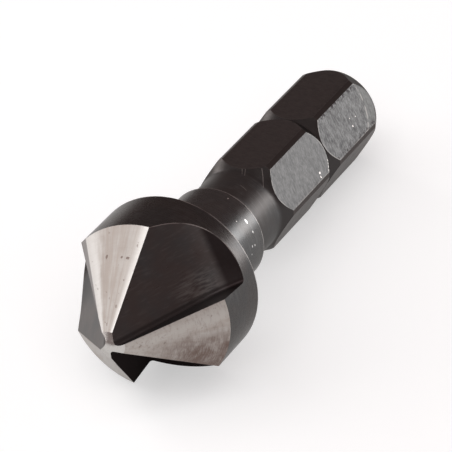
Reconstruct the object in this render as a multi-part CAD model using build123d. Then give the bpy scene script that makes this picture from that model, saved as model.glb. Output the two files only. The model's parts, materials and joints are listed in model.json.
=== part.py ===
from build123d import *
import os
from math import atan2, cos, degrees, radians, sin, sqrt, tan

# Countersink bit: one piece of hardened tool steel with a three-flute 90 degree head,
# a turned collar and neck, and a hexagonal shank with one V-groove. Millimetres.
# The bit is modelled upright on its own axis: Z = 0 is the virtual apex of the cutting
# cone and +Z runs to the shank. Angles are about that axis, and 0 is the normal of one
# flat of the shank. At the end it is laid down as it comes to rest on a table.

# ---- turned head, collar and neck -----------------------------------------------------
HEAD_DIAMETER = 11.9        # cutting diameter
POINT_ANGLE = 90.0          # included angle of the cutting cone
HEAD_BACK = 10.35           # virtual apex to the back face of the head
HEAD_EDGE = 0.12            # chamfer on the back edge of the head
TIP_START = 0.50            # virtual apex to the blunt tip
TIP_SLOPE = 0.50            # the blunt tip rises this much per millimetre of radius
SEAM_ANGLE = 1.17           # seam of the turned faces, off the line that the bit rests on
STOCK_DIAMETER = 7.0        # collar, as turned
SHOULDER_FILLET = 0.40      # head back face to collar
COLLAR_BACK = 16.60         # virtual apex to the back edge of the collar
COLLAR_EDGE = 0.12
NECK_DIAMETER = 6.1
NECK_FILLET = 0.25          # collar back face to neck
NECK_BACK = 20.0            # where the neck starts to flare out to the hexagon
FLARE_ANGLE = 24.0          # to the axis
FLARE_FILLET = 1.2          # neck to flare

# ---- hexagonal shank, the common quarter-inch bit drive --------------------------------
ACROSS_FLATS = 6.35
ACROSS_CORNERS = 7.13       # the corners are what is left of the turned round
OVERALL_END = 36.32         # virtual apex to the end face
END_CHAMFER_ANGLE = 20.0    # to the axis
END_FACE_DIAMETER = 6.27
GROOVE_AT = 28.04           # middle of the V-groove
GROOVE_FLOOR_DIAMETER = 6.30
GROOVE_SIDE_ANGLE = 23.4    # each side, to the axis

# ---- flutes and lands -----------------------------------------------------------------
FLUTE_COUNT = 3
FIRST_EDGE_ANGLE = 72.4     # leading edge of the first land, from the flat at angle 0
RAKE_TILT = 0.073           # the rake face leans into the land by this much per millimetre
ROOT_ANGLE = 30.0           # root of a flute, to the axis
WALL_ANGLE = 5.5            # back wall of a flute past square to the rake face
ROOT_RADIUS = 0.25
CUTTER_RADIUS = 8.0         # the milling cutter leaves this arc where a flute runs out
CUTTER_DEPTH = 7.95         # depth of the cutter's V, just short of its spindle
STRAIGHT_ROOT = 7.2         # straight part of the root, from the virtual apex
RELIEF_TILT = 1.2           # each land is ground as a cone leaning away from it by this much
# Each flute stands a little off its true place, as ground: (outward, sideways). It is
# turned back as well, so that the leading corner of its land stays where it should be.
FLUTE_SHIFTS = [(0.07, 0.06), (-0.17, -0.17), (0.0, 0.20)]
# ---- allowances of the cutting bodies, past the metal they take off --------------------
LEAD_IN = 3.0               # flute cutter, in front of the tip
RUN_OUT_SWEEP = 60.0        # flute cutter, round its spindle
PASS_OVER = 1.0             # past an end or a back edge
RELIEF_START = -15.0        # a grinding sector begins this far in front of its land

HEAD_RADIUS = HEAD_DIAMETER / 2
STOCK_RADIUS = STOCK_DIAMETER / 2
NECK_RADIUS = NECK_DIAMETER / 2
FLAT_RADIUS = ACROSS_FLATS / 2
CORNER_RADIUS = ACROSS_CORNERS / 2
END_RADIUS = END_FACE_DIAMETER / 2
STEP = 360 / FLUTE_COUNT
NODE = "countersink_bit"


def turned_blank():
    """The round blank: one half-section, turned about the axis."""
    cone_length = HEAD_RADIUS / tan(radians(POINT_ANGLE / 2))
    tip_radius = TIP_START / (1 - TIP_SLOPE)
    flare_length = (CORNER_RADIUS - NECK_RADIUS) / tan(radians(FLARE_ANGLE))
    groove_depth = CORNER_RADIUS - GROOVE_FLOOR_DIAMETER / 2
    groove_half = groove_depth / tan(radians(GROOVE_SIDE_ANGLE))
    end_length = (CORNER_RADIUS - END_RADIUS) / tan(radians(END_CHAMFER_ANGLE))
    section = make_face(Polyline(
        (0, TIP_START),
        (tip_radius, tip_radius),
        (HEAD_RADIUS, cone_length),
        (HEAD_RADIUS, HEAD_BACK - HEAD_EDGE),
        (HEAD_RADIUS - HEAD_EDGE, HEAD_BACK),
        (STOCK_RADIUS, HEAD_BACK),
        (STOCK_RADIUS, COLLAR_BACK - COLLAR_EDGE),
        (STOCK_RADIUS - COLLAR_EDGE, COLLAR_BACK),
        (NECK_RADIUS, COLLAR_BACK),
        (NECK_RADIUS, NECK_BACK),
        (CORNER_RADIUS, NECK_BACK + flare_length),
        (CORNER_RADIUS, GROOVE_AT - groove_half),
        (CORNER_RADIUS - groove_depth, GROOVE_AT),
        (CORNER_RADIUS, GROOVE_AT + groove_half),
        (CORNER_RADIUS, OVERALL_END - end_length),
        (END_RADIUS, OVERALL_END),
        (0, OVERALL_END),
        close=True,
    ))
    for spot, radius in (
        ((STOCK_RADIUS, HEAD_BACK), SHOULDER_FILLET),
        ((NECK_RADIUS, COLLAR_BACK), NECK_FILLET),
        ((NECK_RADIUS, NECK_BACK), FLARE_FILLET),
    ):
        corner = section.vertices().sort_by_distance(Vector(*spot, 0))[0]
        section = fillet(corner, radius)
    return Rot(0, 0, SEAM_ANGLE) * revolve(Plane.XZ * section, Axis.Z)


def hexagon_mill():
    """All that the six milling passes take off the shank, from the middle of the neck back."""
    start = (COLLAR_BACK + NECK_BACK) / 2
    length = OVERALL_END - start + PASS_OVER
    round_bar = extrude(Circle(ACROSS_CORNERS), length)
    hexagon = extrude(RegularPolygon(FLAT_RADIUS, 6, major_radius=False, rotation=30), length)
    return Pos(0, 0, start) * (round_bar - hexagon)


def land_frame(index):
    """A land's own frame: X runs out to its leading corner, Y back over the land."""
    return Rot(0, 0, FIRST_EDGE_ANGLE + index * STEP)


def polar(radius, angle):
    return (radius * cos(radians(angle)), radius * sin(radians(angle)))


def flute_cutter(index):
    """The V that one pass of the milling cutter leaves: a straight run along the root and
    then the cutter's own round where it leaves the head."""
    root = Vector(
        sin(radians(ROOT_ANGLE)),
        RAKE_TILT * (cos(radians(ROOT_ANGLE)) - sin(radians(ROOT_ANGLE))),
        cos(radians(ROOT_ANGLE)),
    ).normalized()
    into_flute = Vector(-RAKE_TILT, -1, RAKE_TILT).normalized()
    section_plane = Plane(origin=root * STRAIGHT_ROOT, x_dir=into_flute, z_dir=root)
    outward = section_plane.y_dir
    width = HEAD_DIAMETER
    section = make_face(Polyline(
        (0, 0),
        (width, -width * tan(radians(WALL_ANGLE))),
        (width, CUTTER_DEPTH),
        (0, CUTTER_DEPTH),
        close=True,
    ))
    corner = section.vertices().sort_by_distance(Vector(0, 0, 0))[0]
    section = section_plane * fillet(corner, ROOT_RADIUS)
    spindle = Axis(root * STRAIGHT_ROOT + outward * CUTTER_RADIUS, -into_flute)
    straight = extrude(section, -(STRAIGHT_ROOT + LEAD_IN))
    cutter = straight + revolve(section, spindle, RUN_OUT_SWEEP)
    along, sideways = FLUTE_SHIFTS[index]
    turned_back = Rot(0, 0, -degrees(sideways / HEAD_RADIUS))
    return land_frame(index) * Pos(along, sideways, 0) * turned_back * cutter


def relief_grind(index):
    """What the grinding wheel takes off one land: all in front of a cone of the same point
    angle that leans away from the land, so that the land falls away behind its leading
    edge and the more so the farther out."""
    height = HEAD_RADIUS + PASS_OVER
    sector_end = RELIEF_START + STEP
    reach = HEAD_DIAMETER
    sector = extrude(
        make_face([
            Line((0, 0), polar(reach, RELIEF_START)),
            CenterArc((0, 0), reach, RELIEF_START, STEP),
            Line(polar(reach, sector_end), (0, 0)),
        ]),
        height,
    )
    tall = HEAD_DIAMETER + PASS_OVER
    leaning = Rot(RELIEF_TILT, 0, 0)
    cone = leaning * Pos(0, 0, tall / 2) * Cone(0, tall * tan(radians(POINT_ANGLE / 2)), tall)
    return land_frame(index) * (sector - cone)


def laid_down(solid):
    """Turns the upright bit onto a table: the tip points to -Y, a flat of the shank faces
    up, and the bit rests on the back edge of its head and the end of the opposite flat.
    The origin is the middle of the underside of its box."""
    head_contact = HEAD_BACK - HEAD_EDGE
    end_contact = OVERALL_END - (FLAT_RADIUS - END_RADIUS) / tan(radians(END_CHAMFER_ANGLE))
    tilt = atan2(HEAD_RADIUS - FLAT_RADIUS, end_contact - head_contact)
    axis_height = HEAD_RADIUS * cos(tilt) + head_contact * sin(tilt)
    tip_y = TIP_START * cos(tilt)
    end_y = OVERALL_END * cos(tilt) + END_RADIUS * sin(tilt)
    print(f"tilt {degrees(tilt):.3f} deg, axis height at the apex {axis_height:.3f} mm,"
          f" middle of the length at {(tip_y + end_y) / 2:.3f} mm")
    pose = Plane(
        origin=(0, -(tip_y + end_y) / 2, axis_height),
        x_dir=(0, sin(tilt), cos(tilt)),
        z_dir=(0, cos(tilt), -sin(tilt)),
    )
    return pose.location * solid


bit = turned_blank() - hexagon_mill()
for number in range(FLUTE_COUNT):
    bit -= flute_cutter(number)
for number in range(FLUTE_COUNT):
    bit -= relief_grind(number)
bit = laid_down(bit)
bit.label = NODE

os.makedirs("parts", exist_ok=True)
export_step(bit, f"parts/{NODE}.step")
box = bit.bounding_box()
print(f"{NODE}: {len(bit.solids())} solid, {bit.volume:.1f} mm3, box {box.min} to {box.max}")
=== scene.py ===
# %% [markdown]
# # A countersink bit
# This lesson dresses one small steel tool: a countersink bit, 36 mm long, that lies on a
# pale table. The real bit starts as a round bar. A lathe turns the head, the collar and the
# neck, a mill cuts six flats on the shank and three flutes in the head, the whole tool is
# blackened, and last of all a wheel grinds the three cutting lands bright. The mesh is made
# in the same order, so that each kind of surface comes from its own step and can be given
# its own finish.

# %% Load the frame
import math

import bmesh
import bpy
import numpy as np
from mathutils import Matrix, Quaternion, Vector
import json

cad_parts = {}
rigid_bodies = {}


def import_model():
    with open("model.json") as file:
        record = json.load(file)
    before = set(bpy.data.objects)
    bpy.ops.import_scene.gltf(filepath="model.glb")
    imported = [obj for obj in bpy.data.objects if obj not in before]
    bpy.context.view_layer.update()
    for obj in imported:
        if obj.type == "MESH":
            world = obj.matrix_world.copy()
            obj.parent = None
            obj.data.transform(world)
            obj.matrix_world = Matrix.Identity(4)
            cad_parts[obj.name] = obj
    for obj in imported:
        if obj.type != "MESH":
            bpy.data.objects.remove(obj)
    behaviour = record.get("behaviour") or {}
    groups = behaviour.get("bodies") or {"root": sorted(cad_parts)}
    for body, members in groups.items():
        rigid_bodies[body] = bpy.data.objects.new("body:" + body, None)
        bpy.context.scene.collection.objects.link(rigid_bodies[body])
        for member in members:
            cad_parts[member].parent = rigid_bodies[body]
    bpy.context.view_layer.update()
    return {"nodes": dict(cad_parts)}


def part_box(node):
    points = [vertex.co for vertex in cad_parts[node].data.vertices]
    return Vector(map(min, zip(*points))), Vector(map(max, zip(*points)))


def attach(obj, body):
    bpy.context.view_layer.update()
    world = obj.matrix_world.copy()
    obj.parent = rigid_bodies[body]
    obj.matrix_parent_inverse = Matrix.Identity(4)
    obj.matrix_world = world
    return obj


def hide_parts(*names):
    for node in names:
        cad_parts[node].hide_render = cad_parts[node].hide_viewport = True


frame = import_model()
NODE = "countersink_bit"
BODY = "root"
lowest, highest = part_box(NODE)
print("nodes", sorted(frame["nodes"]), "box in mm", [round(1000 * x, 2) for x in highest - lowest])

# %% [markdown]
# ## The bit's own frame
# A turned tool is easiest to describe on its own axis, so every shape below is worked out in
# millimetres in the tool's frame: z = 0 is the point of the cutting cone if it were sharp,
# z runs to the shank, and angles are counted from the middle of the flat that ends up on
# top. One matrix, the pose, lays the finished mesh down on the table. The bit rests on the
# back edge of its head and on the far end of the flat underneath, and that tilts it. It
# could be modelled lying down from the start, but then every circle would stand askew.

# %% Sizes in millimetres, and the pose
HEAD_RADIUS = 5.95
HEAD_BACK = 10.35
HEAD_EDGE = 0.12
TIP_START = 0.50
TIP_SLOPE = 0.50
COLLAR_RADIUS = 3.50
COLLAR_BACK = 16.60
COLLAR_EDGE = 0.12
SHOULDER_FILLET = 0.40
NECK_RADIUS = 3.05
NECK_BACK = 20.0
NECK_FILLET = 0.25
FLARE_ANGLE = 24.0
FLARE_FILLET = 1.2
FLAT_RADIUS = 3.175
CORNER_RADIUS = 3.565
END_AT = 36.32
END_RADIUS = 3.135
END_ANGLE = 20.0
GROOVE_AT = 28.04
GROOVE_RADIUS = 3.15
GROOVE_ANGLE = 23.4
MILLIMETRE = 0.001


def tan(degrees):
    return math.tan(math.radians(degrees))


def pose_matrix():
    """Lays the tool down: its axis dips towards the shank by the angle whose tangent is the
    drop from the head's back edge to the flat's end over the distance between them."""
    head_contact = HEAD_BACK - HEAD_EDGE
    end_contact = END_AT - (FLAT_RADIUS - END_RADIUS) / tan(END_ANGLE)
    tilt = math.atan2(HEAD_RADIUS - FLAT_RADIUS, end_contact - head_contact)
    dip, run = math.sin(tilt), math.cos(tilt)
    height = HEAD_RADIUS * run + head_contact * dip
    middle = (TIP_START * run + END_AT * run + END_RADIUS * dip) / 2
    turn = Matrix(((0, 1, 0, 0), (dip, 0, run, -middle), (run, 0, -dip, height), (0, 0, 0, 1)))
    return Matrix.Scale(MILLIMETRE, 4) @ turn


POSE = pose_matrix()
tip = POSE @ Vector((0, 0, TIP_START))
print("the tip lies at", [round(1000 * x, 2) for x in tip], "mm")

# %% [markdown]
# ## Surfaces from numpy
# Every solid here is a section that is carried along a path, so its points form a grid: one
# row for each place on the path. Blender's Screw and Curve tools could carry some of these
# sections too. Whole arrays do it in a line or two, and also where the section changes on
# the way. Points that fall on one spot, as at a pole, are merged afterwards, so every solid
# is closed.

# %% Mesh helpers
MERGE_DISTANCE = 1e-5


def mesh_from_grid(name, points, close_rows, caps):
    """A mesh from a grid of points (rows, columns, 3). Each cell is one quad; columns always
    close on themselves, rows close if asked, and otherwise the first and last can be capped."""
    rows, columns, _ = points.shape
    last = rows if close_rows else rows - 1
    row, column = np.meshgrid(np.arange(last), np.arange(columns), indexing="ij")
    below, beside = (row + 1) % rows, (column + 1) % columns
    quads = np.stack([
        row * columns + column,
        row * columns + beside,
        below * columns + beside,
        below * columns + column,
    ], axis=-1).reshape(-1, 4)
    faces = quads.tolist()
    if caps:
        faces.append(list(range(columns))[::-1])
        faces.append([(rows - 1) * columns + i for i in range(columns)])
    mesh = bpy.data.meshes.new(name)
    mesh.from_pydata(points.reshape(-1, 3).tolist(), [], faces)
    tidy = bmesh.new()
    tidy.from_mesh(mesh)
    bmesh.ops.remove_doubles(tidy, verts=tidy.verts, dist=MERGE_DISTANCE)
    bmesh.ops.recalc_face_normals(tidy, faces=tidy.faces)
    tidy.to_mesh(mesh)
    tidy.free()
    return mesh


def as_object(mesh):
    made = bpy.data.objects.new(mesh.name, mesh)
    bpy.context.scene.collection.objects.link(made)
    return made


def carried_round(radius, height, angles):
    """Points (angle, place on the section): x = r cos a, y = r sin a, z = the height. The
    section may be the same all the way round, or have one row of radii for each angle."""
    turn = np.radians(angles)[:, None]
    x, y = radius * np.cos(turn), radius * np.sin(turn)
    return np.stack([x, y, np.broadcast_to(height, x.shape)], axis=-1)


def arc_points(corner, before, after, radius, count=9):
    """A round in place of a corner: the arc that touches both sides. It lies at radius over
    the tangent of half the corner's angle along each side, and its middle on the bisector."""
    corner = np.array(corner, float)
    to_before = np.array(before, float) - corner
    to_after = np.array(after, float) - corner
    to_before /= np.linalg.norm(to_before)
    to_after /= np.linalg.norm(to_after)
    half = math.acos(float(to_before @ to_after)) / 2
    middle = to_before + to_after
    middle *= radius / math.sin(half) / np.linalg.norm(middle)
    reach = radius / math.tan(half)
    start = to_before * reach - middle
    end = to_after * reach - middle
    swing = math.pi - 2 * half
    step = np.linspace(0, swing, count)[:, None]
    return corner + middle + (start * np.sin(swing - step) + end * np.sin(step)) / math.sin(swing)


# %% [markdown]
# ## The turned blank
# On the lathe the whole bit is one outline turned about one axis: the blunt tip, the
# cutting cone, the head, the collar, the neck with its soft flare, and the bar that will
# become the hexagon, with its V-groove and its chamfered end. Joining a cone and a few
# cylinders would leave seams between them. One outline has none, and its rounded corners
# are part of it.


# %% The blank
def rounded_outline(corners):
    """An outline from (radius, height, rounding) corners, each rounded corner as an arc."""
    outline = []
    for index, (radius, height, rounding) in enumerate(corners):
        if rounding:
            before, after = corners[index - 1][:2], corners[index + 1][:2]
            outline.extend(arc_points((radius, height), before, after, rounding))
        else:
            outline.append((radius, height))
    return np.array(outline)


def split_long(outline, longest):
    """The same outline with every stretch longer than the limit cut into equal parts."""
    points = [outline[:1]]
    for start, end in zip(outline[:-1], outline[1:]):
        parts = max(1, math.ceil(np.linalg.norm(end - start) / longest))
        share = np.linspace(0, 1, parts + 1)[1:, None]
        points.append(start + share * (end - start))
    return np.concatenate(points)


tip_radius = TIP_START / (1 - TIP_SLOPE)
flare_length = (CORNER_RADIUS - NECK_RADIUS) / tan(FLARE_ANGLE)
groove_half = (CORNER_RADIUS - GROOVE_RADIUS) / tan(GROOVE_ANGLE)
chamfer_length = (CORNER_RADIUS - END_RADIUS) / tan(END_ANGLE)
blank_outline = split_long(rounded_outline([
    (0, TIP_START, 0),
    (tip_radius, tip_radius, 0),
    (HEAD_RADIUS, HEAD_RADIUS, 0),
    (HEAD_RADIUS, HEAD_BACK - HEAD_EDGE, 0),
    (HEAD_RADIUS - HEAD_EDGE, HEAD_BACK, 0),
    (COLLAR_RADIUS, HEAD_BACK, SHOULDER_FILLET),
    (COLLAR_RADIUS, COLLAR_BACK - COLLAR_EDGE, 0),
    (COLLAR_RADIUS - COLLAR_EDGE, COLLAR_BACK, 0),
    (NECK_RADIUS, COLLAR_BACK, NECK_FILLET),
    (NECK_RADIUS, NECK_BACK, FLARE_FILLET),
    (CORNER_RADIUS, NECK_BACK + flare_length, 0),
    (CORNER_RADIUS, GROOVE_AT - groove_half, 0),
    (GROOVE_RADIUS, GROOVE_AT, 0),
    (CORNER_RADIUS, GROOVE_AT + groove_half, 0),
    (CORNER_RADIUS, END_AT - chamfer_length, 0),
    (END_RADIUS, END_AT, 0),
    (0, END_AT, 0),
]), longest=0.8)
TURN_STEP = 1.5
full_turn = np.arange(0, 360, TURN_STEP)
blank = as_object(mesh_from_grid("blank", carried_round(*blank_outline.T, full_turn), True, False))
print("blank:", len(blank.data.vertices), "points,", len(blank.data.polygons), "faces")

# %% [markdown]
# ## What the milling cutters take away
# The flats come from a ring whose hole is a hexagon: a straight side at distance f from the
# axis has the radius f / cos(angle from the side's middle). The flutes come from a V-shaped
# section carried straight along the root, and then round the cutter's own spindle, which is
# why each flute ends in a curved run-out. The curved edges could be drawn by hand, but they
# come out right by themselves when the metal is taken away as the real cutter takes it.

# %% The ring that leaves the hexagon
RING_START = (COLLAR_BACK + NECK_BACK) / 2
RING_END = END_AT + 1
RING_RADIUS = 2 * CORNER_RADIUS
RING_STEP = 2.5
FLAT_STEP = 60.0


def hexagon_ring():
    """For each angle the ring's section is a rectangle from the flat out to the far radius."""
    angles = np.arange(0, 360, RING_STEP)
    from_middle = (angles + FLAT_STEP / 2) % FLAT_STEP - FLAT_STEP / 2
    inner = FLAT_RADIUS / np.cos(np.radians(from_middle))
    outer = np.full_like(inner, RING_RADIUS)
    radius = np.stack([inner, inner, outer, outer], axis=-1)
    return carried_round(radius, [RING_END, RING_START, RING_START, RING_END], angles)


ring = as_object(mesh_from_grid("hexagon_ring", hexagon_ring(), True, False))
print("ring:", len(ring.data.polygons), "faces")

# %% The flute cutters
FLUTES = 3
STEP = 360 / FLUTES
FIRST_EDGE = 72.4
RAKE_TILT = 0.073
ROOT_ANGLE = 30.0
WALL_ANGLE = 5.5
ROOT_RADIUS = 0.25
CUTTER_RADIUS = 8.0
CUTTER_DEPTH = 7.95
STRAIGHT_ROOT = 7.2
LEAD_IN = 3.0
RUN_OUT_SWEEP = 60.0
CUTTER_WIDTH = 2 * HEAD_RADIUS
STRAIGHT_ROWS = 17
RUN_OUT_STEP = 2.0
# Each flute stands a little off its true place, as ground: (outward, sideways).
FLUTE_SHIFTS = [(0.07, 0.06), (-0.17, -0.17), (0.0, 0.20)]


def flute_directions():
    """Unit vectors at a cutting edge that points along x: down the root, square to the rake
    face and into the flute, and out of the root. The rake face leans by RAKE_TILT."""
    sine, cosine = math.sin(math.radians(ROOT_ANGLE)), math.cos(math.radians(ROOT_ANGLE))
    root = np.array([sine, RAKE_TILT * (cosine - sine), cosine])
    into_flute = np.array([-RAKE_TILT, -1, RAKE_TILT])
    root /= np.linalg.norm(root)
    into_flute /= np.linalg.norm(into_flute)
    return root, into_flute, np.cross(root, into_flute)


def turned_about_axis(points, degrees):
    """The same points, turned about z by the matrix of the angle's cosine and sine."""
    turn = math.radians(degrees)
    spin = np.array([
        [math.cos(turn), -math.sin(turn), 0],
        [math.sin(turn), math.cos(turn), 0],
        [0, 0, 1],
    ])
    return points @ spin.T


def flute_cutter(index):
    """The V section (depth into the flute, height above the root) is carried along the root,
    and then by the angle p round the spindle: along = straight + (R - height) sin p and
    outward = R - (R - height) cos p, where R is the cutter's radius."""
    bottom = -CUTTER_WIDTH * tan(WALL_ANGLE)
    root_round = arc_points((0, 0), (0, 1), (CUTTER_WIDTH, bottom), ROOT_RADIUS)
    section = split_long(np.concatenate([
        [(0, CUTTER_DEPTH)],
        root_round,
        [(CUTTER_WIDTH, bottom), (CUTTER_WIDTH, CUTTER_DEPTH)],
    ]), longest=1.5)
    depth, height = section[:, 0], section[:, 1]
    straight = np.linspace(-LEAD_IN, STRAIGHT_ROOT, STRAIGHT_ROWS, endpoint=False)
    swing = np.radians(np.arange(0, RUN_OUT_SWEEP + 1, RUN_OUT_STEP))
    along = np.concatenate([
        np.broadcast_to(straight[:, None], (len(straight), len(section))),
        STRAIGHT_ROOT + (CUTTER_RADIUS - height) * np.sin(swing)[:, None],
    ])
    outward = np.concatenate([
        np.broadcast_to(height, (len(straight), len(section))),
        CUTTER_RADIUS - (CUTTER_RADIUS - height) * np.cos(swing)[:, None],
    ])
    into = np.broadcast_to(depth, along.shape)
    root, into_flute, out = flute_directions()
    points = along[..., None] * root + outward[..., None] * out + into[..., None] * into_flute
    away, sideways = FLUTE_SHIFTS[index]
    points = turned_about_axis(points, -math.degrees(sideways / HEAD_RADIUS))
    points = points + np.array([away, sideways, 0])
    return turned_about_axis(points, FIRST_EDGE + index * STEP)


cutters = [
    as_object(mesh_from_grid(f"flute_cutter_{index + 1}", flute_cutter(index), False, True))
    for index in range(FLUTES)
]
print("flute cutters:", [len(cutter.data.polygons) for cutter in cutters], "faces")

# %% [markdown]
# ## What the grinding wheel takes away
# Each land is part of a cone that leans away from it by a small angle, the relief, so that
# only the leading edge cuts. On that cone the height is m times the radius, and m depends
# only on the angle: it solves m cos t - sin a sin t = sqrt((1 + m * m) / 2), where t is the
# lean and a the angle behind the leading edge. Three leaning cones could be cut one after
# the other, but each would also bite into its neighbour's land. One body with its radii
# worked out for each angle changes over inside the flutes, where there is no metal.

# %% The grinding body
RELIEF_TILT = 1.2
RELIEF_START = -15.0
GRIND_RADIUS = HEAD_RADIUS + 1
GRIND_BOTTOM = -1.0
LAND_COLUMNS = 81
CONE_ROWS = 12


def cone_slope(behind_edge):
    """m, from the quadratic that the formula above becomes when it is squared."""
    lean = math.radians(RELIEF_TILT)
    drop = np.sin(np.radians(behind_edge)) * math.sin(lean)
    across = math.cos(lean)
    square = across**2 - 0.5
    root = np.sqrt((across * drop) ** 2 - square * (drop**2 - 0.5))
    return (across * drop + root) / square


def grinding_body():
    """For each angle the section runs down the cone and back along the body's flat bottom."""
    behind = np.linspace(RELIEF_START, RELIEF_START + STEP, LAND_COLUMNS)
    behind_all = np.tile(behind, FLUTES)
    angles = behind_all + FIRST_EDGE + np.repeat(np.arange(FLUTES) * STEP, len(behind))
    out = np.linspace(0, GRIND_RADIUS, CONE_ROWS)
    cone = cone_slope(behind_all)[:, None] * out
    height = np.concatenate([cone, np.full_like(cone, GRIND_BOTTOM)], axis=1)
    return carried_round(np.concatenate([out, out[::-1]]), height, angles)


grind = as_object(mesh_from_grid("grinding_body", grinding_body(), True, False))
print("grinding body:", len(grind.data.polygons), "faces")

# %% [markdown]
# ## Cutting
# A Boolean modifier subtracts one closed mesh from another. Each cutting body carries its
# own material, and the faces that it leaves behind take that material over, so the finish
# of every surface is settled by the tool that made it. Faces could be picked by their
# position afterwards instead, but a small change of a size would then pick the wrong ones.


# %% Finishes, still empty, in the order of their slots
TURNED, MILLED_FLAT, FLUTE, GROUND = (
    bpy.data.materials.new(name)
    for name in ("turned_black", "milled_flat", "milled_flute", "ground_land")
)


def give_material(piece, material):
    piece.data.materials.clear()
    piece.data.materials.append(material)


give_material(blank, TURNED)
give_material(ring, MILLED_FLAT)
for cutter in cutters:
    give_material(cutter, FLUTE)
give_material(grind, GROUND)
print("finishes:", [material.name for material in (TURNED, MILLED_FLAT, FLUTE, GROUND)])


# %% Cut the bit
def cut(piece, tools):
    """Subtracts each tool in turn, and returns the mesh that is left."""
    for tool in tools:
        step = piece.modifiers.new(tool.name, "BOOLEAN")
        step.operation = "DIFFERENCE"
        step.solver = "EXACT"
        step.object = tool
        step.material_mode = "TRANSFER"
    bpy.context.view_layer.update()
    ready = piece.evaluated_get(bpy.context.evaluated_depsgraph_get())
    result = bpy.data.meshes.new_from_object(ready)
    for used in [piece, *tools]:
        bpy.data.objects.remove(used)
    return result


bit_mesh = cut(blank, [ring, *cutters, grind])
bit_mesh.name = "bit"
print("bit:", len(bit_mesh.vertices), "points,", len(bit_mesh.polygons), "faces, materials",
      [material.name for material in bit_mesh.materials])

# %% [markdown]
# ## Laying the bit down
# The pose goes into the mesh itself, and the object stays at the origin, unturned. Turning
# the object would look the same here, but an exporter that puts every object at the origin
# would stand the bit on end. The faces are shaded smooth, and every edge that bends by more
# than a few degrees stays sharp: that keeps the lathe's curves round and the cuts crisp.

# %% Lay it down and let it stand for the plain node
bit_mesh.transform(POSE)
bit = as_object(bit_mesh)
bit_mesh.shade_smooth()
SHARP_FROM = math.radians(9)
bit_mesh.set_sharp_from_angle(angle=SHARP_FROM)
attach(bit, BODY)
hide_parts(NODE)
check = bmesh.new()
check.from_mesh(bit_mesh)
open_edges = sum(1 for edge in check.edges if not edge.is_manifold)
print("open edges:", open_edges, "volume in mm3:", round(check.calc_volume() / MILLIMETRE**3, 1))
check.free()

# %% [markdown]
# ## Nodes as a formula
# Every finish below is a pattern in the tool's own frame: rings round the axis, streaks
# across a flat, lines along a cutting edge. So each material first turns Object coordinates
# back into millimetres on the tool's axis with one Mapping node, which undoes the pose.
# Painted pictures could show the same marks, but they need unwrapping and blur close up. The
# small class keeps the node trees readable: each method adds nodes and returns an output.
# Wherever a share is asked for, 0 is none and 1 is all of it.


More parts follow.
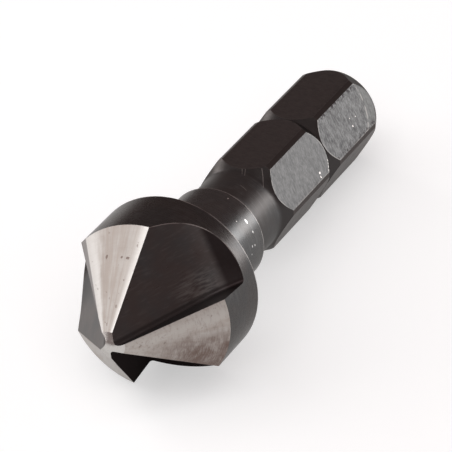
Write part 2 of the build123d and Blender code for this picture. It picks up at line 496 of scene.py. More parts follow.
# %% The recipe class
class Recipe:
    """One material's node tree, written as nested calls."""

    DENT_RAGGED = 3.5
    DENT_EDGE = (2.9, 2.2)

    def __init__(self, material):
        material.use_nodes = True
        self.name = material.name
        self.tree = material.node_tree
        self.shader = self.tree.nodes["Principled BSDF"]
        location, turn, scale = POSE.inverted().decompose()
        coordinates = self.add("ShaderNodeTexCoord", {}, "Object")
        self.place = self.add("ShaderNodeMapping", {
            "Vector": coordinates,
            "Location": location,
            "Rotation": turn.to_euler(),
            "Scale": scale,
        }, vector_type="POINT")
        self.x, self.y, self.z = (
            self.add("ShaderNodeSeparateXYZ", {0: self.place}, axis) for axis in range(3)
        )
        across = self.math("MULTIPLY", self.x, self.x)
        self.radius = self.math("SQRT", self.math("MULTIPLY_ADD", self.y, self.y, across))
        self.angle = self.math("DEGREES", self.math("ARCTAN2", self.y, self.x))

    def add(self, kind, inputs, output=0, **settings):
        node = self.tree.nodes.new(kind)
        for name, value in settings.items():
            setattr(node, name, value)
        for name, value in inputs.items():
            self.feed(node.inputs[name], value)
        return node.outputs[output]

    def feed(self, socket, value):
        if isinstance(value, bpy.types.NodeSocket):
            self.tree.links.new(value, socket)
        else:
            socket.default_value = value

    def math(self, operation, first, second=0.0, third=0.0):
        inputs = {0: first, 1: second, 2: third}
        return self.add("ShaderNodeMath", inputs, operation=operation)

    def times(self, *shares):
        product = shares[0]
        for share in shares[1:]:
            product = self.math("MULTIPLY", product, share)
        return product

    def most(self, *shares):
        result = shares[0]
        for share in shares[1:]:
            result = self.math("MAXIMUM", result, share)
        return result

    def weighted(self, *parts):
        """Sum of weight times value over (weight, value) pairs."""
        total = 0.0
        for weight, value in parts:
            total = self.math("MULTIPLY_ADD", value, weight, total)
        return total

    def point(self, x, y, z):
        return self.add("ShaderNodeCombineXYZ", {0: x, 1: y, 2: z})

    def fade(self, value, start, end):
        """Smooth step: 0 at start and 1 at end, whichever of the two is the larger."""
        return self.add("ShaderNodeMapRange", {
            "Value": value,
            "From Min": start,
            "From Max": end,
        }, interpolation_type="SMOOTHSTEP")

    def noise(self, place, scale=1.0, detail=2.0, roughness=0.5):
        return self.add("ShaderNodeTexNoise", {
            "Vector": place,
            "Scale": scale,
            "Detail": detail,
            "Roughness": roughness,
        })

    def blend(self, share, first, second):
        colours = {6: self.colour(first), 7: self.colour(second), 0: share}
        return self.add("ShaderNodeMix", colours, 2, data_type="RGBA")

    def colour(self, value):
        return value if isinstance(value, bpy.types.NodeSocket) else (*value, 1.0)

    def sector(self, first, width):
        """Angle within sectors of that width that start at first, and the sector's number."""
        turned = self.math("ADD", self.angle, 720 - first)
        within = self.math("MODULO", turned, width)
        count = self.math("FLOOR", self.math("DIVIDE", turned, width))
        return within, self.math("MODULO", count, round(360 / width))

    def specks(self, per_millimetre, size, share):
        """Tiny round specks: near a cell's point, in the share of cells picked by chance."""
        near = self.add("ShaderNodeTexVoronoi", {
            "Vector": self.place,
            "Scale": per_millimetre,
        }, "Distance")
        chance = self.add("ShaderNodeTexVoronoi", {
            "Vector": self.place,
            "Scale": per_millimetre,
        }, "Color")
        drawn = self.add("ShaderNodeSeparateColor", {0: chance})
        picked = self.fade(drawn, 1 - share, 1.01 - share)
        return self.times(self.fade(near, size, 0.4 * size), picked)

    def dents(self, across, along, marks):
        """Ragged oval marks at (across, along, half width, half length) on the surface: each
        fades out where the squared distance from its middle, in half widths, plus noise
        passes an edge."""
        ragged = self.noise(self.place, 7.0, 4.0, 0.75)
        shares = []
        for middle_across, middle_along, width, length in marks:
            over = self.math("DIVIDE", self.math("SUBTRACT", across, middle_across), width)
            up = self.math("DIVIDE", self.math("SUBTRACT", along, middle_along), length)
            reach = self.math("MULTIPLY_ADD", over, over, self.math("MULTIPLY", up, up))
            reach = self.math("MULTIPLY_ADD", ragged, self.DENT_RAGGED, reach)
            shares.append(self.fade(reach, *self.DENT_EDGE))
        return self.most(*shares)

    def scratches(self, across, along, lines, width):
        """Thin lines from (across, along) to (across, along): distance to each segment."""
        shares = []
        for x1, y1, x2, y2 in lines:
            run_x, run_y = x2 - x1, y2 - y1
            square = run_x * run_x + run_y * run_y
            from_x = self.math("SUBTRACT", across, x1)
            from_y = self.math("SUBTRACT", along, y1)
            share = self.math("MULTIPLY_ADD", from_x, run_x / square,
                              self.math("MULTIPLY", from_y, run_y / square))
            share = self.add("ShaderNodeClamp", {"Value": share})
            off_x = self.math("MULTIPLY_ADD", share, -run_x, from_x)
            off_y = self.math("MULTIPLY_ADD", share, -run_y, from_y)
            gap = self.math("SQRT", self.math("MULTIPLY_ADD", off_x, off_x,
                                              self.math("MULTIPLY", off_y, off_y)))
            shares.append(self.fade(gap, width, 0.3 * width))
        return self.most(*shares)

    def finish(self, colour, roughness, height, depth, edge_tint, metal=1.0):
        """Into the shader: metal of this colour and roughness, with bumps this deep in metres.
        The edge tint is what is left of the reflection where the surface is seen edge on."""
        self.feed(self.shader.inputs["Base Color"], colour)
        self.feed(self.shader.inputs["Roughness"], roughness)
        self.feed(self.shader.inputs["Metallic"], metal)
        self.shader.inputs["Specular Tint"].default_value = (*edge_tint, 1.0)
        bump = self.add("ShaderNodeBump", {"Height": height, "Distance": depth, "Strength": 1.0})
        self.feed(self.shader.inputs["Normal"], bump)
        print(f"{self.name}: {len(self.tree.nodes)} nodes")


# %% [markdown]
# ## Blackened turned steel
# The black is a thin oxide skin over lathe marks. It is never even: it drifts between brown
# and blue, and fine rings of the turning tool show through it. A single dark grey would look
# like plastic, so the skin is blended in steps from five blacks. The rings are noise that is
# drawn out flat: it changes fast along the axis and slowly across it, and adding the radius
# to the height lets the same noise make rings on the end face too. Bare metal turns nearly
# white where it is seen edge on. The skin doesn't, and the edge tint holds that back.

# %% Turned finish: the skin
BROWN_BLACK = (0.104, 0.099, 0.097)
BLUE_BLACK = (0.096, 0.098, 0.100)
RUBBED_BLACK = (0.160, 0.160, 0.159)
HEAVY_BLACK_AND_SHADE = (0.043, 0.038, 0.037)
CORNER_BLACK = (0.074, 0.065, 0.063)
PAINTED_SHADE_FROM_FLARE = (NECK_BACK - 0.35, NECK_BACK + 0.35)
HEAVY_NEAR_HEAD = (HEAD_BACK + 0.45, HEAD_BACK - 0.35)
turned = Recipe(TURNED)
drift = turned.fade(turned.noise(turned.place, 0.35, 3.0), 0.38, 0.62)
rings = turned.noise(turned.point(
    turned.times(turned.x, 0.35),
    turned.times(turned.y, 0.35),
    turned.times(turned.math("ADD", turned.z, turned.radius), 9.0),
), 1.0, 3.0, 0.6)
mottle = turned.noise(turned.place, 1.7, 4.0, 0.6)
skin = turned.blend(drift, BROWN_BLACK, BLUE_BLACK)
skin = turned.blend(turned.fade(turned.weighted((0.6, rings), (0.4, mottle)), 0.48, 0.75),
                    skin, RUBBED_BLACK)
neck = turned.fade(turned.z, COLLAR_BACK - 0.1, COLLAR_BACK + 0.1)
collar = turned.times(turned.fade(turned.z, HEAD_BACK, HEAD_BACK + 0.8),
                      turned.math("SUBTRACT", 1.0, neck))
skin = turned.blend(turned.times(collar, 0.30), skin, RUBBED_BLACK)
# Painted shade: from the flare to the end of the shank the skin is painted darker, standing for
# the shade in the flare's hollow. On the head and the neck it is a darker tone of the skin.
heavy_and_painted_shade = turned.most(
    turned.times(turned.fade(turned.z, *PAINTED_SHADE_FROM_FLARE), 0.82),
    turned.times(turned.fade(turned.z, *HEAVY_NEAR_HEAD), 0.30),
    turned.times(neck, 0.12),
)
skin = turned.blend(heavy_and_painted_shade, skin, HEAVY_BLACK_AND_SHADE)
end_face = turned.fade(turned.z, END_AT - 0.04, END_AT - 0.01)
skin = turned.blend(turned.times(end_face, turned.fade(rings, 0.40, 0.62), 0.30),
                    skin, RUBBED_BLACK)
corner = turned.times(
    turned.fade(turned.z, NECK_BACK + 0.25, NECK_BACK + 0.9),
    turned.fade(turned.radius, CORNER_RADIUS - 0.03, CORNER_RADIUS - 0.005),
)
skin = turned.blend(corner, skin, CORNER_BLACK)

# %% [markdown]
# Wear comes on top of the skin: a thin bright line where the sharp back edges of the head
# and the collar are rubbed, a few nicks and scratches down to the steel, and dust. The edges
# could be found by their bend with a Pointiness node, but that depends on how fine the mesh
# is. Heights and radii are known here, so the line is put where the edge is. The blunt tip
# is bare as well, because the grinding wheel touches it.

# %% Turned finish: wear
BARE_STEEL = (0.66, 0.62, 0.60)
NICK_STEEL = (0.95, 0.94, 0.92)
TIP_STEEL = (0.54, 0.525, 0.505)
TIP_STEEL_DULL = (0.48, 0.465, 0.445)
TIP_BARE_TO = 2.0
TURNED_EDGE_TINT = (0.64, 0.63, 0.62)
# Millimetres round the collar and along the axis, then half the width and half the length.
NICKS = [
    (3.24, 15.42, 0.17, 0.09),
    (4.08, 15.48, 0.10, 0.055),
    (2.78, 14.62, 0.06, 0.04),
    (4.94, 15.22, 0.07, 0.05),
    (4.86, 14.86, 0.10, 0.05),
    (5.33, 14.62, 0.06, 0.05),
    (1.31, 15.97, 0.05, 0.06),
    (-2.9, 12.6, 0.07, 0.10),
]
# Both ends of each line, again round the collar and along the axis.
SCRATCHES = [
    (0.28, 20.36, 0.54, 19.88),
    (0.54, 20.36, 0.79, 19.82),
    (1.53, 20.89, 2.02, 20.39),
    (2.02, 20.39, 2.52, 19.87),
    (1.10, 18.60, 1.75, 18.40),
]
SCRATCH_WIDTH = 0.028


def turned_edge(place, radius):
    """The rubbed line just in front of a back edge, wider here and narrower there."""
    patchy = turned.noise(turned.place, 0.8, 3.0, 0.65)
    start = turned.math("MULTIPLY_ADD", patchy, -0.12, place + 0.01)
    near = turned.fade(turned.math("SUBTRACT", turned.z, start), -0.02, 0.05)
    return turned.times(
        near,
        turned.fade(turned.z, place + 0.14, place + 0.12),
        turned.fade(turned.radius, radius - 0.2, radius - 0.16),
        turned.fade(patchy, 0.25, 0.5),
    )


edges = turned.most(
    turned_edge(HEAD_BACK - HEAD_EDGE, HEAD_RADIUS),
    turned_edge(COLLAR_BACK - COLLAR_EDGE, COLLAR_RADIUS),
)
round_way = turned.times(turned.angle, math.radians(COLLAR_RADIUS))
nicks = turned.dents(round_way, turned.z, NICKS)
lines = turned.scratches(round_way, turned.z, SCRATCHES, SCRATCH_WIDTH)
dust = turned.specks(1.1, 0.05, 0.12)
skin = turned.blend(turned.times(lines, 0.35), skin, BARE_STEEL)
skin = turned.blend(turned.times(dust, 0.7), skin, BARE_STEEL)
skin = turned.blend(turned.times(edges, 0.6), skin, BARE_STEEL)
skin = turned.blend(turned.times(nicks, 0.85), skin, NICK_STEEL)
tip_share = turned.fade(turned.z, TIP_BARE_TO + 0.2, TIP_BARE_TO)
skin = turned.blend(tip_share, skin, turned.blend(mottle, TIP_STEEL, TIP_STEEL_DULL))
turned.finish(
    colour=skin,
    roughness=turned.weighted(
        (0.08, rings), (0.16, mottle), (0.20, edges), (0.11, neck), (0.16, 1.0)),
    height=turned.weighted((1.0, rings), (0.6, mottle)),
    depth=1.2e-6,
    edge_tint=TURNED_EDGE_TINT,
)

# %% [markdown]
# ## Milled flats
# The six flats were milled and rolled about in a tumbler before they were blackened, so
# they are mottled, with streaks that run slantwise across. All six have one finish, but the
# face that turns to the light is painted a lighter, grainy grey, as painted light, and the
# others keep a brown black. Each flat is a plane, and on a plane the distance from its middle
# line is f tan a, where f is the flat's distance from the axis and a the angle from its
# middle. That distance and the height are the two coordinates of the pattern. The flat's
# number shifts the noise, so that no two flats are alike.

# %% Flat finish: the milled skin
PAINTED_LIT_FLAT_DARK = (0.046, 0.046, 0.047)
PAINTED_LIT_FLAT_LIGHT = (0.188, 0.188, 0.188)
PAINTED_LIT_FLAT_CALM = (0.138, 0.138, 0.138)
FLAT_BEYOND = (0.128, 0.129, 0.126)
FLAT_BLACK = (0.109, 0.099, 0.097)
FLAT_BLACK_DEEP = (0.072, 0.066, 0.065)
STREAK_ANGLE = 164.0
REAR_FROM = 28.0
PAINTED_LIT_FACE = 1.0
flat = Recipe(MILLED_FLAT)
within, face = flat.sector(-FLAT_STEP / 2, FLAT_STEP)
from_middle = flat.math("SUBTRACT", within, FLAT_STEP / 2)
side = flat.times(flat.math("TANGENT", flat.math("RADIANS", from_middle)), FLAT_RADIUS)
lean_x, lean_y = math.cos(math.radians(STREAK_ANGLE)), math.sin(math.radians(STREAK_ANGLE))
along = flat.weighted((lean_x, side), (lean_y, flat.z))
crosswise = flat.weighted((-lean_y, side), (lean_x, flat.z))
apart = flat.times(face, 7.3)
streaks = flat.noise(flat.point(flat.times(along, 0.9), flat.times(crosswise, 5.5), apart),
                     1.0, 3.0, 0.6)
fine = flat.noise(flat.point(flat.times(along, 2.5), flat.times(crosswise, 16.0), apart),
                  1.0, 2.0, 0.6)
blotches = flat.noise(flat.point(side, flat.z, apart), 1.5, 4.0, 0.65)
grain = flat.noise(flat.point(flat.times(along, 2.6), flat.times(crosswise, 6.0), apart),
                   1.4, 4.0, 0.75)
rear = flat.fade(flat.z, REAR_FROM - 0.4, REAR_FROM + 0.4)
pattern = flat.weighted((0.20, streaks), (0.12, fine), (0.30, blotches), (0.38, grain))
# Painted light: only the face that turns to the side light gets this lighter grey.
grey = flat.blend(flat.fade(pattern, 0.38, 0.64), PAINTED_LIT_FLAT_DARK, PAINTED_LIT_FLAT_LIGHT)
grey = flat.blend(flat.weighted((-0.32, rear), (0.36, 1.0)), grey, PAINTED_LIT_FLAT_CALM)
painted_lit_face = flat.fade(flat.math("ABSOLUTE", flat.math("SUBTRACT", face, PAINTED_LIT_FACE)), 0.6, 0.4)
black = flat.blend(flat.fade(pattern, 0.40, 0.66), FLAT_BLACK, FLAT_BLACK_DEEP)
grey = flat.blend(painted_lit_face, black, grey)

# %% [markdown]
# The skin is worn to bright lines along the outline of a flat, with dark pits beside the
# corners, and near the end a curved streak shows how far a holder grips the shank. A flat
# ends where a cone cuts it: at the flare, and on both sides of the groove. So the distance
# to its outline is the distance to that cone, and no mask has to be painted.

# %% Flat finish: wear
FLAT_EDGE = (0.26, 0.25, 0.24)
PIT = (0.030, 0.026, 0.028)
EDGE_TINT = (0.72, 0.71, 0.70)
# The holder's mark is an arc: the height and place across of its middle, and its radius.
GRIP_MIDDLE, GRIP_ACROSS, GRIP_RADIUS = 32.2, -0.95, 3.05
GRIP_FROM = 33.1
# Millimetres across the lit flat and along the axis, then half the width and length.
FLAT_DENTS = [
    (0.57, 32.45, 0.075, 0.075),
    (0.01, 32.58, 0.03, 0.07),
    (0.21, 33.34, 0.03, 0.07),
    (1.15, 26.07, 0.10, 0.10),
    (1.42, 25.95, 0.10, 0.05),
    (0.93, 27.66, 0.05, 0.06),
    (1.14, 27.53, 0.08, 0.05),
    (1.32, 27.38, 0.07, 0.07),
    (1.52, 27.18, 0.09, 0.06),
]
pits = flat.times(
    flat.fade(flat.math("ABSOLUTE", side), 1.05, 1.6),
    flat.fade(flat.noise(flat.point(side, flat.z, apart), 4.6, 3.0, 0.6), 0.52, 0.58),
    flat.weighted((0.7, rear), (0.3, 1.0)),
    flat.weighted((0.65, painted_lit_face), (0.35, 1.0)),
)


def outline_gap(recipe):
    """How far a point of a flat is from the cone that ends the flat, along the axis."""
    front = recipe.math("MULTIPLY_ADD", recipe.radius, -1 / tan(FLARE_ANGLE),
                        NECK_RADIUS / tan(FLARE_ANGLE) - NECK_BACK)
    front = recipe.math("ADD", recipe.z, front)
    to_groove = recipe.math("ABSOLUTE", recipe.math("SUBTRACT", recipe.z, GROOVE_AT))
    groove = recipe.math("MULTIPLY_ADD", recipe.radius, -1 / tan(GROOVE_ANGLE),
                         GROOVE_RADIUS / tan(GROOVE_ANGLE))
    groove = recipe.math("ADD", to_groove, groove)
    return recipe.math("MINIMUM", front, groove)


worn_here = flat.fade(flat.noise(flat.point(side, flat.z, apart), 1.3, 3.0, 0.6), 0.36, 0.58)
outline = flat.most(
    flat.times(flat.fade(outline_gap(flat), 0.12, 0.05), worn_here),
    flat.times(flat.fade(flat.radius, CORNER_RADIUS - 0.03, CORNER_RADIUS - 0.01), worn_here,
               flat.fade(side, -0.2, 0.2), 0.7),
)
# The bright outline is partly wear and partly painted light: it is stronger on the face painted
# lit.
outline = flat.times(outline, flat.weighted((0.50, painted_lit_face), (0.20, 1.0)))
grip_x = flat.math("SUBTRACT", side, GRIP_ACROSS)
grip_y = flat.math("SUBTRACT", flat.z, GRIP_MIDDLE)
grip = flat.math("SQRT", flat.math("MULTIPLY_ADD", grip_x, grip_x,
                                   flat.math("MULTIPLY", grip_y, grip_y)))
near_end = flat.times(painted_lit_face, flat.fade(flat.z, GRIP_FROM - 0.2, GRIP_FROM + 0.2))
grip_line = flat.times(
    flat.fade(flat.math("ABSOLUTE", flat.math("SUBTRACT", grip, GRIP_RADIUS)), 0.10, 0.03),
    flat.fade(flat.noise(flat.place, 2.2, 3.0), 0.38, 0.56),
    near_end,
)
beyond = flat.times(flat.fade(grip, GRIP_RADIUS, GRIP_RADIUS + 0.1), near_end)
marks = flat.times(painted_lit_face, flat.dents(side, flat.z, FLAT_DENTS))
grey = flat.blend(flat.times(beyond, 0.38), grey, FLAT_BEYOND)
grey = flat.blend(pits, grey, PIT)
grey = flat.blend(flat.times(grip_line, 0.8), grey, FLAT_EDGE)
grey = flat.blend(outline, grey, FLAT_EDGE)
grey = flat.blend(marks, grey, BARE_STEEL)
flat.finish(
    colour=grey,
    roughness=flat.weighted((0.16, blotches), (0.08, streaks), (0.30, 1.0)),
    height=flat.weighted((0.4, streaks), (0.4, fine), (0.6, blotches), (1.0, grain)),
    depth=2.0e-6,
    edge_tint=EDGE_TINT,
)

# %% [markdown]
# ## Milled flutes
# A flute is milled along its root, and the cutter's feed marks stay visible under the black
# as faint strokes along it. Strokes could follow a UV map, but cut faces have none. Turning
# the angle back to the nearest cutting edge puts all three flutes into one frame, where the
# root is a fixed direction, and the same three unit vectors that shaped the cutter now give
# the strokes their way.

# %% Flute finish: feed marks
FLUTE_BROWN = (0.108, 0.095, 0.092)
FLUTE_BLUE = (0.093, 0.093, 0.095)
FLUTE_RUBBED = (0.20, 0.197, 0.192)
FLUTE_REACH = 90.0
PATCH_DOWN, PATCH_DOWN_REACH = 7.6, 1.7
PATCH_INTO, PATCH_INTO_REACH = 0.9, 1.2
flute = Recipe(FLUTE)
within, which = flute.sector(FIRST_EDGE - FLUTE_REACH, STEP)
local = flute.math("RADIANS", flute.math("SUBTRACT", within, FLUTE_REACH))
local_x = flute.times(flute.radius, flute.math("COSINE", local))
local_y = flute.times(flute.radius, flute.math("SINE", local))
down_root, into, outward = (
    flute.weighted(*zip(way.tolist(), (local_x, local_y, flute.z)))
    for way in flute_directions()
)
strokes = flute.noise(flute.point(
    flute.times(down_root, 1.1),
    flute.times(into, 7.0),
    flute.math("MULTIPLY_ADD", outward, 7.0, flute.times(which, 5.1)),
), 1.0, 3.0, 0.62)
cross_feed = flute.noise(flute.point(
    flute.times(down_root, 8.0),
    flute.times(into, 0.7),
    flute.times(which, 3.3),
), 1.0, 2.0)
clouded = flute.noise(flute.place, 0.5, 3.0)
dark_skin = flute.blend(flute.fade(clouded, 0.3, 0.7), FLUTE_BROWN, FLUTE_BLUE)
patch_x = flute.math("DIVIDE", flute.math("SUBTRACT", down_root, PATCH_DOWN), PATCH_DOWN_REACH)
patch_y = flute.math("DIVIDE", flute.math("SUBTRACT", into, PATCH_INTO), PATCH_INTO_REACH)
patch = flute.fade(flute.math("SQRT", flute.math(
    "MULTIPLY_ADD", patch_x, patch_x, flute.math("MULTIPLY", patch_y, patch_y))), 1.25, 0.2)
dark_skin = flute.blend(
    flute.times(patch, flute.fade(strokes, 0.36, 0.66)), dark_skin, FLUTE_RUBBED)
dark_skin = flute.blend(
    flute.times(flute.fade(strokes, 0.5, 0.75), 0.22), dark_skin, FLUTE_RUBBED)

# %% [markdown]
# Past the straight part the floor of a flute curves up to the rim, and there the colour goes
# nearly black. The rake faces and the whole lower flute, which lie in shade, are painted black
# too: painted shade. Shaded as metal they would mirror the pale table, so there most of the
# Metallic share is taken away, and the plain reflection that a material has without it is
# switched off.

# %% Flute finish: dark run-out, painted shade, and the rubbed rim
FLUTE_BLACK_AND_SHADE = (0.022, 0.016, 0.016)
RUN_OUT_FROM = 9.4
PAINTED_SHADE_FLUTE = 1.0
run_out = flute.fade(down_root, RUN_OUT_FROM - 0.25, RUN_OUT_FROM + 0.35)
dark_skin = flute.blend(flute.times(run_out, 0.9), dark_skin, FLUTE_BLACK_AND_SHADE)
# Painted shade: the rake faces and the lower flute are painted black and made matt.
rake_face = flute.fade(into, 0.45, 0.25)
below = flute.times(flute.fade(which, PAINTED_SHADE_FLUTE - 0.6, PAINTED_SHADE_FLUTE - 0.4),
                    flute.fade(which, PAINTED_SHADE_FLUTE + 0.6, PAINTED_SHADE_FLUTE + 0.4))
heavy_and_painted_shade = flute.most(flute.times(rake_face, 0.75), flute.times(below, 0.96))
painted_shade_matt = flute.most(flute.times(rake_face, 0.35), flute.times(below, 0.97))
dark_skin = flute.blend(heavy_and_painted_shade, dark_skin, FLUTE_BLACK_AND_SHADE)
rim_patchy = flute.fade(flute.noise(flute.place, 0.7, 3.0), 0.30, 0.56)
rim = flute.times(flute.fade(flute.radius, HEAD_RADIUS - 0.06, HEAD_RADIUS - 0.02),
                  rim_patchy, flute.fade(into, 0.4, 2.4))
dark_skin = flute.blend(flute.times(rim, 0.5), dark_skin, BARE_STEEL)
dark_skin = flute.blend(flute.times(flute.specks(1.3, 0.045, 0.12), 0.6), dark_skin, BARE_STEEL)
flute.finish(
    colour=dark_skin,
    roughness=flute.weighted((0.12, strokes), (0.10, clouded), (0.20, 1.0)),
    height=flute.weighted((1.0, strokes), (0.5, cross_feed)),
    depth=1.5e-6,
    edge_tint=EDGE_TINT,
    metal=flute.math("SUBTRACT", 1.0, painted_shade_matt),
)
flute.shader.inputs["Specular IOR Level"].default_value = 0.0

# %% [markdown]
# ## Ground lands
# The lands are the last surfaces to be cut, so they are bare steel. The wheel leaves fine
# lines round the axis, and heat leaves rays that run from the tip to the rim. On a cone the
# natural coordinates are the angle behind the cutting edge and the radius: noise that is
# drawn out along the angle gives the wheel's lines, and noise drawn out along the radius
# gives the rays.

# %% Ground finish: the wheel's marks
GROUND_STEEL = (0.49, 0.48, 0.465)
BRIGHT_STEEL = (0.70, 0.69, 0.665)
WARM_STEEL = (0.375, 0.335, 0.305)
LAND_REACH = 30.0
ground = Recipe(GROUND)
behind, land = ground.sector(FIRST_EDGE - LAND_REACH, STEP)
behind = ground.math("SUBTRACT", behind, LAND_REACH)
land_2 = ground.fade(land, 0.6, 0.4)
land_1 = ground.fade(land, 1.4, 1.6)
land_3 = ground.math("SUBTRACT", ground.math("SUBTRACT", 1.0, land_1), land_2)
lap = ground.noise(ground.point(
    ground.times(behind, 0.035),
    ground.times(ground.radius, 9.0),
    ground.times(land, 5.7),
), 1.0, 3.0, 0.65)
fine_lap = ground.noise(ground.point(
    ground.times(behind, 0.12),
    ground.times(ground.radius, 26.0),
    ground.times(land, 2.7),
), 1.0, 2.0, 0.6)
rays = ground.noise(ground.point(
    ground.times(behind, 0.13),
    ground.times(ground.radius, 0.28),
    ground.times(land, 4.1),
), 1.0, 3.0, 0.6)
clouds = ground.noise(ground.place, 1.1, 5.0, 0.68)
warm = ground.fade(
    ground.weighted((0.60, rays), (0.32, clouds), (0.08, lap)), 0.42, 0.66)
steel = ground.blend(warm, GROUND_STEEL, WARM_STEEL)
# Painted shade: lands two and three are blended towards the warm steel, darker than the first.
steel = ground.blend(ground.weighted((0.60, land_2), (0.30, land_3)), steel, WARM_STEEL)

# %% [markdown]
# Grinding heat tints the steel. The first land is bright at both sides and warm in a band
# between them, and the second is stained brown towards its far corner. Straight borders
# would look painted, so the angle that decides is made to waver with the rays and clouds
# before it is compared. The first land also keeps a narrow grey strip along its cutting
# edge that the wheel has not reached.

# %% Ground finish: heat and stains
STAIN = (0.155, 0.113, 0.098)
STRIP = (0.31, 0.30, 0.295)
STRIP_ANGLE = 4.6
GROUND_EDGE_TINT = (0.80, 0.79, 0.78)
# Degrees behind the cutting edge and millimetres from the axis, then half the sizes.
LAND_STAINS = [
    (23.3, 4.54, 1.4, 0.10),
    (37.8, 4.42, 1.0, 0.08),
    (43.4, 4.40, 1.6, 0.07),
]
wavering = ground.weighted((1.0, behind), (12.0, rays), (4.0, clouds))
heat = ground.times(ground.fade(wavering, 18.0, 32.0), ground.fade(wavering, 62.0, 48.0))
cool = ground.times(land_1, ground.math("SUBTRACT", 1.0, heat))
steel = ground.blend(ground.times(cool, 0.85), steel, BRIGHT_STEEL)
rayed = ground.fade(ground.noise(ground.point(
    ground.times(behind, 0.30),
    ground.times(ground.radius, 0.35),
    ground.times(land, 3.3),
), 1.0, 4.0, 0.65), 0.36, 0.64)
steel = ground.blend(ground.times(land_1, heat, ground.weighted((0.60, rayed), (0.38, 1.0))),
                     steel, WARM_STEEL)
far_corner = ground.times(
    land_2,
    ground.fade(wavering, 20.0, 44.0),
    ground.fade(ground.radius, 1.0, 4.8),
)
smeared = ground.fade(ground.weighted((0.45, fine_lap), (0.55, clouds)), 0.34, 0.60)
steel = ground.blend(ground.times(ground.fade(fine_lap, 0.45, 0.7), 0.10), steel, WARM_STEEL)
steel = ground.blend(ground.times(far_corner, ground.weighted((0.62, smeared), (0.40, 1.0))),
                     steel, STAIN)
speckle = ground.fade(ground.noise(ground.point(
    ground.times(behind, 0.10),
    ground.times(ground.radius, 5.0),
    3.0,
), 1.6, 4.0, 0.7), 0.50, 0.70)
steel = ground.blend(ground.times(land_2, speckle, 0.35), steel, STAIN)
spots = ground.fade(ground.noise(ground.place, 2.6, 3.0, 0.6), 0.66, 0.72)
steel = ground.blend(ground.times(spots, 0.55), steel, STAIN)
stained = ground.times(land_1, 0.8, ground.dents(behind, ground.radius, LAND_STAINS))
steel = ground.blend(stained, steel, STAIN)
strip = ground.times(land_1, ground.fade(behind, STRIP_ANGLE + 0.25, STRIP_ANGLE - 0.25))
steel = ground.blend(strip, steel, STRIP)
ground.finish(
    colour=steel,
    roughness=ground.weighted((0.10, lap), (0.12, clouds), (0.30, 1.0)),
    height=ground.weighted((0.6, lap), (0.4, fine_lap), (0.5, rays)),
    depth=1.2e-6,
    edge_tint=GROUND_EDGE_TINT,
)

# %% [markdown]
# ## The floor
# The bit lies on pale paper that should look white and still hold a soft shadow. More lamps
# would whiten the paper, but they would also bleach the steel. So the paper is a plain pale
# matt surface that glows a little, but only for rays that come straight from the camera or
# by way of a mirror or glass: the picture and the reflections in the steel see white paper,
# and the glow lights nothing else.

# %% Floor
FLOOR_HALF = 1.5
PAPER_COLOUR = (0.60, 0.61, 0.615, 1)
PAPER_GLOW = (1, 1, 1, 1)
PAPER_FILL = 0.49
floor_mesh = bpy.data.meshes.new("floor")
floor_mesh.from_pydata(
    [(-FLOOR_HALF, -FLOOR_HALF, 0), (FLOOR_HALF, -FLOOR_HALF, 0),
     (FLOOR_HALF, FLOOR_HALF, 0), (-FLOOR_HALF, FLOOR_HALF, 0)],
    [], [(0, 1, 2, 3)])
floor = as_object(floor_mesh)
paper = bpy.data.materials.new("pale_paper")
paper.use_nodes = True
paper_shader = paper.node_tree.nodes["Principled BSDF"]
paper_shader.inputs["Base Color"].default_value = PAPER_COLOUR
paper_shader.inputs["Roughness"].default_value = 1.0
paper_shader.inputs["Specular IOR Level"].default_value = 0.0
paper_shader.inputs["Emission Color"].default_value = PAPER_GLOW
path = paper.node_tree.nodes.new("ShaderNodeLightPath")
seen = path.outputs["Is Camera Ray"]
for ray in ("Is Glossy Ray", "Is Transmission Ray"):
    either = paper.node_tree.nodes.new("ShaderNodeMath")
    either.operation = "MAXIMUM"
    paper.node_tree.links.new(seen, either.inputs[0])
    paper.node_tree.links.new(path.outputs[ray], either.inputs[1])
    seen = either.outputs[0]
fill = paper.node_tree.nodes.new("ShaderNodeMath")
fill.operation = "MULTIPLY"
fill.inputs[1].default_value = PAPER_FILL
paper.node_tree.links.new(seen, fill.inputs[0])
paper.node_tree.links.new(fill.outputs[0], paper_shader.inputs["Emission Strength"])
floor_mesh.materials.append(paper)
print("floor:", 2 * FLOOR_HALF, "m across")

# %% [markdown]
# ## Light
# Metal shows mostly what stands around it, so each softbox stands where certain faces mirror
# it towards the camera. The left light fills the first land. The front light brings out one
# edge of that land and the strokes in the flute beside it, and it is the main light on the
# paper. The low side light catches the worn flats, the collar and the right of the head, and
# the small rim light the left of the neck. The second land needs no lamp, for it mirrors the
# paper. A picture of a studio wrapped round the scene would light it too, but four boxes and
# a dim warm room can each be moved and explained.

# %% Light
ROOM_COLOUR = (1, 0.76, 0.73, 1)
ROOM_STRENGTH = 0.25
world = bpy.data.worlds.new("studio")
bpy.context.scene.world = world
world.use_nodes = True
world.node_tree.nodes["Background"].inputs["Color"].default_value = ROOM_COLOUR
world.node_tree.nodes["Background"].inputs["Strength"].default_value = ROOM_STRENGTH


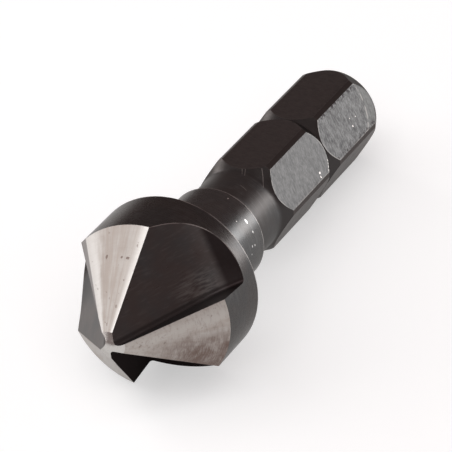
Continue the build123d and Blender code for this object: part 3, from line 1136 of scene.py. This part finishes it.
def softbox(name, direction, distance, size, radiance):
    """A lamp that faces the bit. Its power is its radiance times its area times pi."""
    data = bpy.data.lights.new(name, "AREA")
    data.shape = "RECTANGLE"
    data.size, data.size_y = size
    data.energy = radiance * size[0] * size[1] * math.pi
    lamp = bpy.data.objects.new(name, data)
    bpy.context.scene.collection.objects.link(lamp)
    lamp.location = Vector(direction).normalized() * distance
    lamp.rotation_euler = lamp.location.to_track_quat("Z", "Y").to_euler()
    print(name, "gives", round(data.energy, 2), "W")


softbox("front_light", (0.25, -0.50, 0.83), 0.65, (0.64, 0.60), 2.0)
softbox("left_light", (-0.72, -0.28, 0.63), 0.60, (0.55, 0.75), 1.3)
softbox("side_light", (0.61, 0.79, 0.13), 0.50, (0.34, 0.13), 4.6)
softbox("rim_light", (-0.84, 0.45, 0.30), 0.50, (0.11, 0.10), 11.0)

# %% [markdown]
# ## Camera
# A long lens far away keeps the bit's outline nearly free of perspective, as in a catalogue.
# The camera looks at a point inside the bit from an azimuth and an elevation, and is rolled
# a little about its own line of sight. A Track To constraint could aim it, but two angles
# and a roll say plainly where it stands.

# %% Camera
VIEW_AZIMUTH = 28.39
VIEW_ELEVATION = 33.56
VIEW_ROLL = -6.41
VIEW_DISTANCE = 0.23554
VIEW_TARGET = Vector((0.00003, -0.00064, 0.00507))
SENSOR_WIDTH = 36.0
FOCAL_LENGTH = 280.28
azimuth, elevation = math.radians(VIEW_AZIMUTH), math.radians(VIEW_ELEVATION)
forward = Vector((
    -math.sin(azimuth) * math.cos(elevation),
    math.cos(azimuth) * math.cos(elevation),
    -math.sin(elevation),
))
camera_data = bpy.data.cameras.new("camera")
camera_data.sensor_width = SENSOR_WIDTH
camera_data.lens = FOCAL_LENGTH
camera_data.clip_start = 0.01
camera = bpy.data.objects.new("camera", camera_data)
bpy.context.scene.collection.objects.link(camera)
camera.location = VIEW_TARGET - forward * VIEW_DISTANCE
level = forward.to_track_quat("-Z", "Y")
camera.rotation_euler = (level @ Quaternion((0, 0, 1), math.radians(VIEW_ROLL))).to_euler()
bpy.context.scene.camera = camera
bpy.context.scene.view_settings.view_transform = "Standard"
print("camera at", [round(1000 * x, 1) for x in camera.location], "mm")

# %% [markdown]

# %% Finish
import json
